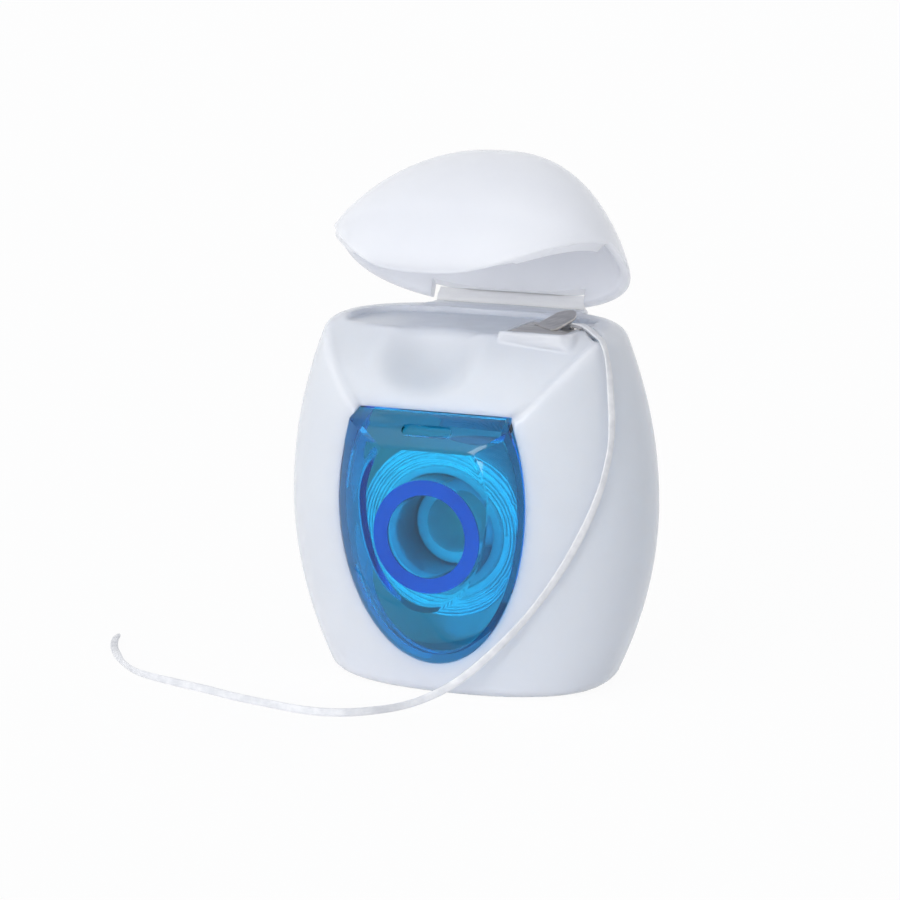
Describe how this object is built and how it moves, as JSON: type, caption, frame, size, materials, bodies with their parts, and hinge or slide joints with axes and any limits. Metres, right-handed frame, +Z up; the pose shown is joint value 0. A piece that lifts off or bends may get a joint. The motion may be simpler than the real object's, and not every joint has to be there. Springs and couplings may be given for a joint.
{
  "type": "dental floss dispenser",
  "caption": "Pocket floss dispenser with a hinged dome lid, a tinted window over the floss spool, a steel cutter and a drawn-out strand.",
  "frame": {"origin": "centre of the base, on the surface that the container stands on", "axes": "+Z up, -Y to the front with the window, +X to the right as seen from the front"},
  "size_m": [0.0812, 0.0464, 0.0721],
  "materials": {
    "container": "moulded white polypropylene, soft gloss",
    "lid": "moulded white polypropylene, soft gloss",
    "hinge_film": "thin flexed film, slightly translucent",
    "window": "clear blue tinted plastic, polished",
    "bobbin": "plain moulded plastic",
    "floss": "waxed white tape, closely wound",
    "strand": "waxed white tape",
    "steel": "stamped stainless sheet"
  },
  "bodies": {
    "container": {"container_shell": "container", "window_cover": "window", "cutter_plate": "steel", "living_hinge": "hinge_film", "floss_lead": "strand", "floss_tail": "strand"},
    "lid": {"lid": "lid"},
    "spool": {"bobbin_core": "bobbin", "floss_pack": "floss", "floss_winding": "floss"}
  },
  "joints": [
    {"name": "lid_hinge", "type": "hinge", "parent": "container", "child": "lid", "pos_m": [0, 0.0122, 0.0509], "axis": [-1, 0, 0], "range_deg": [-40, 60], "deforming": ["living_hinge"]},
    {"name": "spool_spin", "type": "hinge", "parent": "container", "child": "spool", "pos_m": [0, 0, 0.0226], "axis": [0, 1, 0], "continuous": true}
  ]
}
